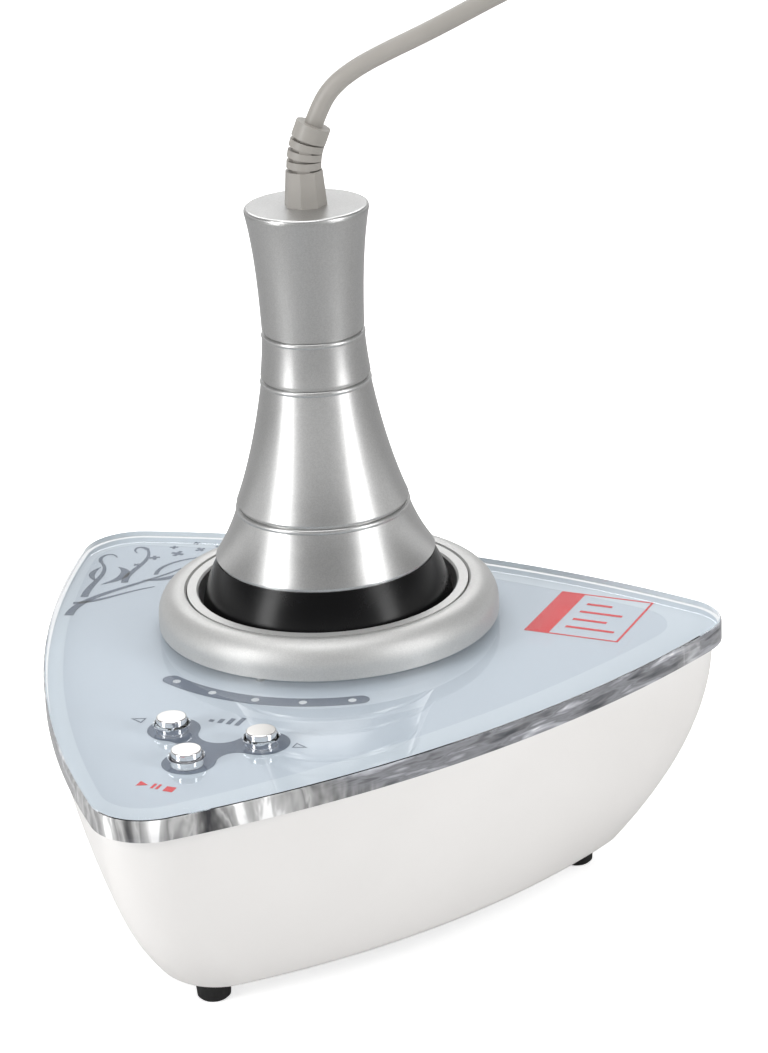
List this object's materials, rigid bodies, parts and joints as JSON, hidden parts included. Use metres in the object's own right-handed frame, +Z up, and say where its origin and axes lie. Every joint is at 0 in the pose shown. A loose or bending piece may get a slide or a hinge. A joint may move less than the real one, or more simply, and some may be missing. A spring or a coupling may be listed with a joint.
{
  "type": "cavitation slimming machine",
  "caption": "Desktop body-contouring machine: bowed three-cornered case with a clear top plate, chrome keys and a holder ring that carries a bell-shaped ultrasonic handpiece on a cable",
  "frame": {"origin": "middle of the case's box in plan, on the surface under the rubber feet", "axes": "+Z up, -Y towards the user at the front corner of the case, +X to the right as seen from the front"},
  "size_m": [0.3541, 0.2706, 0.3088],
  "materials": {
    "body_white": "warm white satin moulding",
    "clear_plate": "thick clear acrylic with a polished edge",
    "film": "printed film",
    "inner_plastic": "matt inner moulding",
    "black_plastic": "matt black moulding",
    "rocker_black": "gloss black",
    "ring_silver": "matt silver with fine sparkle",
    "collar_silver": "satin silver",
    "silver_paint": "satin silver paint",
    "head_black": "satin black",
    "steel": "zinc-plated steel",
    "head_metal": "polished aluminium",
    "sink_metal": "anodised aluminium",
    "chrome": "bright chrome",
    "nickel": "satin nickel",
    "brass": "brass and copper",
    "copper_winding": "taped copper winding",
    "ceramic": "fired ceramic",
    "board_green": "green circuit board",
    "lamp_clear": "clear lens",
    "rubber_grey": "warm grey flexible moulding",
    "rubber_feet": "black rubber",
    "pad_silicone": "silicone pad",
    "wire_cover": "insulated wire"
  },
  "bodies": {
    "base": {"board_screws": "steel", "body_shell": "body_white", "bottom_cover": "inner_plastic", "button_board": "board_green", "cable_coil": "rubber_grey", "cable_socket": "nickel", "cable_tail": "rubber_grey", "capacitors": "sink_metal", "case_screws": "steel", "driver_board": "board_green", "foot_screws": "steel", "heat_sink": "sink_metal", "holder_collar": "collar_silver", "holder_pad": "pad_silicone", "holder_ring": "ring_silver", "inlet_blades": "brass", "inner_deck": "inner_plastic", "inner_wires": "wire_cover", "key_switches": "black_plastic", "level_lights": "lamp_clear", "light_windows": "lamp_clear", "mains_inlet": "black_plastic", "plug_insert": "black_plastic", "plug_relief": "rubber_grey", "plug_shell": "nickel", "power_transistors": "black_plastic", "printed_film": "film", "rear_panel": "black_plastic", "ribbon_cable": "wire_cover", "ribbon_header": "black_plastic", "ring_screws": "steel", "rubber_feet": "rubber_feet", "socket_contacts": "brass", "socket_nut": "nickel", "switch_frame": "black_plastic", "terminal_blocks": "black_plastic", "top_plate": "clear_plate", "transformer_core": "steel", "transformer_winding": "copper_winding"},
    "handpiece": {"end_cap": "silver_paint", "handle_shell": "silver_paint", "grip_band": "silver_paint", "bell_shell": "silver_paint", "skirt_shell": "silver_paint", "head_ring": "head_black", "head_seal": "rubber_feet", "treatment_head": "head_metal", "ceramic_rings": "ceramic", "electrodes": "brass", "back_mass": "steel", "clamp_bolt": "steel", "strain_relief": "rubber_grey", "cable_clamp": "black_plastic", "stack_wires": "wire_cover", "cable_arch": "rubber_grey"},
    "left_button": {"button_left": "chrome"},
    "right_button": {"button_right": "chrome"},
    "front_button": {"button_front": "chrome"},
    "rocker": {"power_rocker": "rocker_black"},
    "plug_ring": {"plug_nut": "nickel"}
  },
  "joints": [
    {"name": "handpiece_lift", "type": "slide", "parent": "base", "child": "handpiece", "axis": [0, 0, 1], "range_m": [0, 0.12]},
    {"name": "left_key_press", "type": "slide", "parent": "base", "child": "left_button", "axis": [0, 0, -1], "range_m": [0, 0.0008], "stiffness_N_per_m": 600},
    {"name": "right_key_press", "type": "slide", "parent": "base", "child": "right_button", "axis": [0, 0, -1], "range_m": [0, 0.0008], "stiffness_N_per_m": 600},
    {"name": "front_key_press", "type": "slide", "parent": "base", "child": "front_button", "axis": [0, 0, -1], "range_m": [0, 0.0008], "stiffness_N_per_m": 600},
    {"name": "power_rocker_tilt", "type": "hinge", "parent": "base", "child": "rocker", "pos_m": [0.0145, 0.0895, 0.041], "axis": [-1, 0, 0], "range_deg": [0, 18]},
    {"name": "plug_nut_turn", "type": "hinge", "parent": "base", "child": "plug_ring", "pos_m": [0.17564, 0.14749, 0.0094], "axis": [-0.766, 0.6428, 0], "continuous": true}
  ]
}
